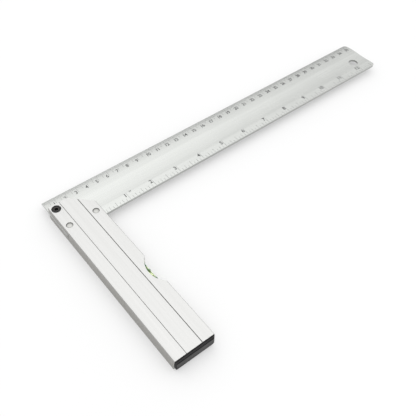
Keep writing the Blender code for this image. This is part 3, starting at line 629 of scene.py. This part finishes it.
def numerals(name, labels, height, squeeze, weight):
    """Printed numbers: each label is (text, x of its middle, y of its foot)."""
    shape = bmesh.new()
    for text, x, y in labels:
        curve = bpy.data.curves.new("digits", "FONT")
        curve.body = text
        curve.size = height / DIGIT_PER_SIZE
        curve.align_x = "CENTER"
        curve.space_character = 0.94
        curve.offset = weight
        curve.extrude = (INK_PROUD + INK_SUNK) / 2
        curve.resolution_u = 3
        holder = link("digits", curve)
        bpy.context.view_layer.update()
        graph = bpy.context.evaluated_depsgraph_get()
        mesh = bpy.data.meshes.new_from_object(holder.evaluated_get(graph))
        for vertex in mesh.vertices:
            lift = INK_PROUD if vertex.co.z > 0 else -INK_SUNK
            across = y + vertex.co.y
            base = BLADE_TOP if across < BLADE_FLAT + MM else surface(across)
            vertex.co = (X_OUT + x + vertex.co.x * squeeze, Y_EDGE + across, base + lift)
        shape.from_mesh(mesh)
        bpy.data.objects.remove(holder, do_unlink=True)
        bpy.data.curves.remove(curve)
        bpy.data.meshes.remove(mesh)
    bmesh.ops.remove_doubles(shape, verts=shape.verts, dist=0.0005 * MM)
    made = from_bmesh(name, shape)
    return dress(made, (SCALE_INK,), "blade", "printed_black")


def make_scales():
    marks = []
    for i in range(1, 355):
        foot, width = next(rest for every, *rest in CM_TICKS if i % every == 0)
        marks.append((i * MM, foot * MM, CM_TICK_END * MM, width * MM))
    strokes("scale_centimetre_lines", marks)
    marks = []
    for i in range(1, 102):
        reach = next(end for every, end in INCH_TICKS if i % every == 0)
        marks.append((INCH_START + i * EIGHTH * MM, INCH_TICK_START * MM, reach * MM,
                      INCH_TICK_WIDTH * MM))
    strokes("scale_inch_lines", marks)
    labels = []
    for i in range(1, 36):
        labels.append((str(i), (i * CM - CM_SHIFTS[i > 9]) * MM, CM_FOOT))
    numerals("scale_centimetre_numbers", labels, *CM_STYLE)
    labels = []
    for i in range(1, 13):
        labels.append((str(i), INCH_START + (i * INCH - INCH_SHIFTS[i > 9]) * MM, INCH_FOOT))
    labels.append(("″", INCH_START + UNIT_X * MM, UNIT_FOOT))
    numerals("scale_inch_numbers", labels, *INCH_STYLE)


# ---------------------------------------------------------------- fasteners
def make_rivet(name, centre, node):
    """A countersunk rivet with a low crowned head, on both faces of the stock."""
    half = Z_MID - RUNNING
    crown, rim = RIVET_CROWN, RIVET_HEAD
    radius = (rim ** 2 + crown ** 2) / (2 * crown)
    upper = [(radius * sin(a), half - radius * (1 - cos(a)))
             for a in (asin(rim / radius) * i / 10 for i in range(11))]
    edge = half - crown
    upper += [(rim, edge - RIVET_LAND), (RIVET_SHANK, half - RIVET_HEAD_HEIGHT)]
    lower = [(r, -z) for r, z in reversed(upper)]
    made = lathe(name, upper + lower, (centre.x, centre.y, Z_MID))
    soften(made, 0.06 * MM)
    # painted shade: the outer rim of the head takes the darker second material
    for face in made.data.polygons:
        if (face.center.xy - centre.xy).length > RIVET_SHADE_START:
            face.material_index = 1
    return dress(made, (RIVET_METAL, RIVET_RIM_PAINTED_SHADE), "stock", "rivet_aluminium", node)


def make_screw():
    top, head, shank = TOP - SCREW_SUNK, SCREW_HEAD, SCREW_SHANK
    profile = [(0.0, top - 0.12 * MM), (shank, top - 0.12 * MM), (2.15 * MM, top),
               (head - 0.45 * MM, top), (head - 0.12 * MM, top - 0.14 * MM),
               (head, top - 0.42 * MM), (head, top - 0.6 * MM), (shank, top - 2.3 * MM),
               (shank, 1.3 * MM), (1.6 * MM, SCREW_FOOT), (0.0, SCREW_FOOT)]
    made = lathe("screw_adjuster", profile, (ADJUSTER.x, ADJUSTER.y, 0.0))
    along = (ADJUSTER.xy - PIVOT.xy).normalized() * CAM_OFFSET
    cam = extruded("cam", circle(ADJUSTER.xy + along, CAM_RADIUS, 64),
                   BLADE_BOTTOM - 0.2 * MM, BLADE_TOP + 0.2 * MM, "Z")
    boolean(made, [cam], "UNION")
    hexagon = circle(ADJUSTER.xy, SOCKET_FLAT / cos(pi / 6), 6)
    socket = extruded("socket", hexagon, top - SOCKET_DEPTH, top + OVERRUN, "Z")
    boolean(made, [socket])
    soften(made, 0.05 * MM)
    vertices = made.data.vertices
    # painted highlight: the flat top round the socket takes the lighter second material
    for face in made.data.polygons:
        corners = [vertices[i].co for i in face.vertices]
        reach = max((corner.xy - ADJUSTER.xy).length for corner in corners)
        if reach < SCREW_HIGHLIGHT_REACH and min(corner.z for corner in corners) > top - 0.2 * MM:
            face.material_index = 1
    return dress(made, (BLACK_OXIDE, OXIDE_PAINTED_HIGHLIGHT), "adjuster", "black_steel", "adjuster_screw")


def keep_node(node, material, width):
    """A CAD node that stays, with broken edges and its own material."""
    made = frame["nodes"][node]
    made.data.materials.clear()
    made.data.materials.append(material)
    weld = made.modifiers.new("weld", "WELD")
    weld.merge_threshold = 0.002 * MM
    bevel = made.modifiers.new("broken_edges", "BEVEL")
    bevel.limit_method = "ANGLE"
    bevel.angle_limit = BROKEN_ANGLE
    bevel.width = width
    bevel.segments = 2
    return made


# ---------------------------------------------------------------- end cap
BUMPER = (4.2 * MM, 9.6 * MM)
CAP_ROOT, CAP_STEP = 0.1 * MM, 0.78 * MM
CAP_TOP_CORNER, CAP_FOOT_CORNER, CAP_END_RUN = 0.6 * MM, 4.0 * MM, 3.0 * MM
CAP_WALL, CAP_PLUG_LENGTH = 1.2 * MM, 8 * MM


def cap_side():
    """The cap's front in Y and Z: a proud band between an upper and a lower set-back one."""
    low, high = CAP_LOW.z, CAP_HIGH.z
    root, step = Y_FOOT - CAP_ROOT, Y_FOOT - CAP_STEP
    points = [(foot_end(low) - RUNNING, low), (root, low), (root - 0.3 * MM, low + 0.35 * MM),
              (step + 0.08 * MM, low + 1.2 * MM), (step, BUMPER[0] - 0.15 * MM)]
    points += [(CAP_LOW.y + 0.12 * MM, BUMPER[0]), (CAP_LOW.y, BUMPER[0] + 0.2 * MM),
               (CAP_LOW.y, BUMPER[1] - 0.2 * MM), (CAP_LOW.y + 0.12 * MM, BUMPER[1])]
    points += [(step, BUMPER[1] + 0.15 * MM), (step + 0.04 * MM, high - 1.1 * MM),
               (step + 0.25 * MM, high - 0.4 * MM)]
    return points + [(foot_end(high) - 0.2 * MM, high), (foot_end(high) - RUNNING, high)]


def cap_front(x0, x1, upper, lower):
    """The cap's outline seen from the foot: small upper corners and large lower ones."""
    low, high = CAP_LOW.z - 0.2 * MM, CAP_HIGH.z + 0.2 * MM
    points = []
    for x, z, radius, start in ((x1 - lower, low + lower, lower, -pi / 2),
                                (x1 - upper, high - upper, upper, 0.0),
                                (x0 + upper, high - upper, upper, pi / 2),
                                (x0 + lower, low + lower, lower, pi)):
        points += arc((x, z), radius, start, start + pi / 2, 12)
    return points


def cap_plan(x0, x1, run):
    """The cap from above: straight, with a long, soft rounding at each end."""
    near, far = Y_FOOT + 2 * FOOT_SLANT, CAP_LOW.y - RUNNING
    root = Y_FOOT - CAP_ROOT
    side = [(x0 + run * (1 - cos(a)), root - (root - far) * sin(a))
            for a in (pi / 2 * i / 14 for i in range(15))]
    return [(x0, near)] + side + [(x0 + x1 - x, y) for x, y in reversed(side)] + [(x1, near)]


def make_cap():
    x0, x1 = CAP_LOW.x, CAP_HIGH.x
    made = extruded("cap_foot", list(reversed(cap_side())), x0 - MM, x1 + MM, "X")
    front = extruded("front", cap_front(x0, x1, CAP_TOP_CORNER, CAP_FOOT_CORNER),
                     CAP_LOW.y - OVERRUN, CAP_HIGH.y, "Y")
    plan = extruded("plan", cap_plan(x0 - RUNNING, x1 + RUNNING, CAP_END_RUN), -OVERRUN,
                    TOP + OVERRUN, "Z")
    boolean(made, [front, plan], "INTERSECT")
    plugs, hollows, wall = [], [], CAP_WALL
    for low_x, high_x in CHAMBERS:
        low = (low_x + PLAY, Y_FOOT - PLAY, FACE_WALL + PLAY)
        high = (high_x - PLAY, Y_FOOT + CAP_PLUG_LENGTH, TOP - FACE_WALL - PLAY)
        plugs.append(block("plug", low, high))
        hollows.append(block("hollow", (low[0] + wall, low[1] + FOOT_SLANT + wall, low[2] + wall),
                             (high[0] - wall, high[1] + wall, high[2] - wall)))
    boolean(made, plugs, "UNION")
    boolean(made, hollows)
    soften(made, 0.1 * MM, 3, worn=False)
    # painted sheen: the proud band's front faces take the lighter second material
    for face in made.data.polygons:
        proud = face.center.y < CAP_LOW.y + 0.3 * MM and face.normal.y < -0.3
        if proud and BUMPER[0] < face.center.z < BUMPER[1]:
            face.material_index = 1
    return dress(made, (BLACK_PLASTIC, CAP_BUMPER_PAINTED_SHEEN), "stock", "cap_plastic", "end_cap")


# ---------------------------------------------------------------- vial
BUBBLE_SPREAD = 1.5
VIAL_BORE, VIAL_LIP = 3.1 * MM, 0.12 * MM
FILLING_INSET, FILLING_CHAMFER = 1.0 * MM, 0.2 * MM
BAND_INSIDE, BAND_SHOULDER, BAND_PROUD = 0.05 * MM, 0.15 * MM, 0.2 * MM
STUB_RADIUS, STUB_SHOULDER, STUB_LENGTH, STUB_CHAMFER = 1.5 * MM, 2.8 * MM, 3.0 * MM, 0.2 * MM
FLANGE_LENGTH, FLANGE_CHAMFER, STOPPER_INSIDE = 2.8 * MM, 0.25 * MM, 0.7 * MM


def widen(made, middle):
    """Flatten a bubble's round section into a broad one, as it lies against the tube's roof."""
    for vertex in made.data.vertices:
        vertex.co.x = middle + (vertex.co.x - middle) * BUBBLE_SPREAD
    return made


def make_vial():
    half = (TUBE_HIGH.y - TUBE_LOW.y) / 2
    outer, bore, lip = (TUBE_HIGH.x - TUBE_LOW.x) / 2, VIAL_BORE, VIAL_LIP
    tube = lathe("vial_barrel", [(outer - lip, -half), (outer, -half + lip), (outer, half - lip),
                                 (outer - lip, half), (bore + lip, half), (bore, half - lip),
                                 (bore, -half + lip), (bore + lip, -half)], TUBE, "Y", 96)
    soften(tube, 0.0)
    dress(tube, (ACRYLIC,), "stock", "clear_acrylic", "vial_tube")

    radius, reach, cut = bore - RUNNING, half - FILLING_INSET, FILLING_CHAMFER
    liquid = lathe("vial_filling", [(0.0, -reach), (radius - cut, -reach),
                                    (radius, -reach + cut), (radius, reach - cut),
                                    (radius - cut, reach), (0.0, reach)], TUBE, "Y", 96)
    bubble_half = (BUBBLE_HIGH.y - BUBBLE_LOW.y) / 2
    bubble_radius = (BUBBLE_HIGH.x - BUBBLE_LOW.x) / 2
    travel = max(JOINTS["bubble_travel"]["range_m"])
    run, deep = bubble_half + travel + PLAY, bubble_radius + PLAY
    away = BUBBLE - TUBE
    channel = [(0.0, -run)]
    channel += [(deep * sin(a), -run + deep * (1 - cos(a)))
                for a in (pi / 2 * i / 8 for i in range(1, 9))]
    channel += [(r, -h) for r, h in reversed(channel)]
    trough = widen(lathe("trough", channel, BUBBLE, "Y", 48), BUBBLE.x)
    lid = trough.copy()
    lid.data = trough.data.copy()
    lid.location = away.normalized() * deep
    bpy.context.scene.collection.objects.link(lid)
    boolean(liquid, [trough, lid])
    soften(liquid, 0.0)
    dress(liquid, (LIQUID,), "stock", "green_liquid", "vial_liquid")

    shell = [(0.0, -bubble_half)]
    shell += [(bubble_radius * sin(a) ** 0.7, -bubble_half * cos(a))
              for a in (pi * i / 24 for i in range(1, 24))]
    shell.append((0.0, bubble_half))
    bubble = widen(lathe("vial_air_bubble", shell, BUBBLE, "Y", 48), BUBBLE.x)
    soften(bubble, 0.0)
    dress(bubble, (AIR,), "bubble", "bubble_air", "vial_bubble")

    for end, side in (("head", 1), ("foot", -1)):
        low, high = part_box(f"vial_ring_{end}")
        middle, width = (low.y + high.y) / 2, (high.y - low.y) / 2
        y = middle - TUBE.y
        inside, shoulder, proud = (outer + size for size in (BAND_INSIDE, BAND_SHOULDER, BAND_PROUD))
        profile = [(inside, y - width), (shoulder, y - width), (proud, y - width * 0.6),
                   (proud, y + width * 0.6), (shoulder, y + width), (inside, y + width)]
        ring = lathe(f"vial_band_{end}", profile, TUBE, "Y", 96)
        soften(ring, 0.0)
        dress(ring, (RING_INK,), "stock", "printed_black", f"vial_ring_{end}")
        stub, flange = STUB_RADIUS, FLANGE_LENGTH
        profile = [(0.0, flange + STUB_LENGTH), (stub - STUB_CHAMFER, flange + STUB_LENGTH),
                   (stub, flange + STUB_SHOULDER), (stub, flange),
                   (outer - FLANGE_CHAMFER, flange), (outer, flange - FLANGE_CHAMFER),
                   (outer, RUNNING), (bore - RUNNING, RUNNING),
                   (bore - RUNNING, -STOPPER_INSIDE), (0.0, -STOPPER_INSIDE)]
        profile = [(r, side * (half + h)) for r, h in profile]
        plug = lathe(f"vial_stopper_{end}", profile, TUBE, "Y", 72)
        soften(plug, 0.0)
        dress(plug, (PLUG_PLASTIC,), "stock", "plug_plastic", f"vial_plug_{end}")


# ---------------------------------------------------------------- stage
FLOOR_RADIUS, FLOOR_LOW, FLOOR_TOP, FLOOR_GLOW = 6.0, -20 * MM, -0.1 * MM, 0.37

# each stop is a place along the ramp and a grey level
SKY_UP = ((0.0, 0.50), (0.20, 0.55), (0.41, 0.62), (0.58, 0.75), (0.72, 0.94), (0.84, 1.0))
SKY_SIDE = ((0.0, 0.64), (0.20, 0.72), (0.42, 0.92), (0.52, 1.0), (0.63, 1.0), (0.86, 0.83),
            (1.0, 0.76))
SKY_STRENGTH = 2.15

CAMERA_PLACE = (-0.28306, -0.24329, 0.39175)
CAMERA_HEADING, CAMERA_PITCH, CAMERA_ROLL = radians(40.1355), radians(49.8492), radians(1.8447)
CAMERA_LENS, CAMERA_SENSOR = 53.77, 36.0


def make_stage():
    n = Nodes("studio_floor")
    cloud = n.noise((3.0, 3.0, 3.0), 2.0, 0.5)
    colour = n.mix(n.spread(cloud, 0.3, 0.7), (0.395, 0.395, 0.395), (0.405, 0.405, 0.405))
    n.set(Base_Color=colour, Roughness=0.9, Specular_IOR_Level=0.1, Emission_Color=(1.0, 1.0, 1.0),
          Emission_Strength=FLOOR_GLOW)
    floor = extruded("studio_floor", circle((0.0, 0.0), FLOOR_RADIUS, 96), FLOOR_LOW, FLOOR_TOP, "Z")
    floor.data.materials.append(n.material)


def make_light():
    """A soft studio: a sky that is brightest above and behind, and falls away to both sides."""
    world = bpy.data.worlds.new("studio")
    world.use_nodes = True
    bpy.context.scene.world = world
    tree = world.node_tree
    background = tree.nodes["Background"]
    coords = tree.nodes.new("ShaderNodeTexCoord")
    split = tree.nodes.new("ShaderNodeSeparateXYZ")
    tree.links.new(coords.outputs["Generated"], split.inputs[0])
    shift = tree.nodes.new("ShaderNodeMapRange")
    shift.inputs["From Min"].default_value = -1.0
    tree.links.new(split.outputs["X"], shift.inputs["Value"])
    product = tree.nodes.new("ShaderNodeMath")
    product.operation = "MULTIPLY"
    for socket, stops, source in ((0, SKY_UP, split.outputs["Z"]),
                                  (1, SKY_SIDE, shift.outputs[0])):
        ramp = tree.nodes.new("ShaderNodeValToRGB")
        elements = ramp.color_ramp.elements
        elements.remove(elements[1])
        for place, level in stops:
            element = elements.new(place) if place else elements[0]
            element.color = (level, level, level, 1.0)
        tree.links.new(source, ramp.inputs[0])
        tree.links.new(ramp.outputs[0], product.inputs[socket])
    tree.links.new(product.outputs[0], background.inputs[0])
    background.inputs[1].default_value = SKY_STRENGTH


def make_camera():
    camera = bpy.data.cameras.new("camera")
    camera.sensor_width = CAMERA_SENSOR
    camera.lens = CAMERA_LENS
    holder = bpy.data.objects.new("camera", camera)
    bpy.context.scene.collection.objects.link(holder)
    turn = Matrix.Rotation(-CAMERA_HEADING, 4, "Z") @ Matrix.Rotation(pi / 2 - CAMERA_PITCH, 4, "X")
    turn = turn @ Matrix.Rotation(CAMERA_ROLL, 4, "Z")
    holder.matrix_world = Matrix.Translation(CAMERA_PLACE) @ turn
    bpy.context.scene.camera = holder
    bpy.context.scene.view_settings.view_transform = "Standard"


make_stock()
make_blade()
make_scales()
make_rivet("rivet_pivot", PIVOT, "pivot_rivet")
make_rivet("rivet_clamp", CLAMP, "clamp_rivet")
make_screw()
keep_node("adjuster_nut", PLATED, 0.12 * MM)
keep_node("adjuster_washer", PLATED, 0.08 * MM)
keep_node("vial_holder", HOLDER_PLASTIC, 0.2 * MM)
make_cap()
make_vial()
make_stage()
make_light()
make_camera()
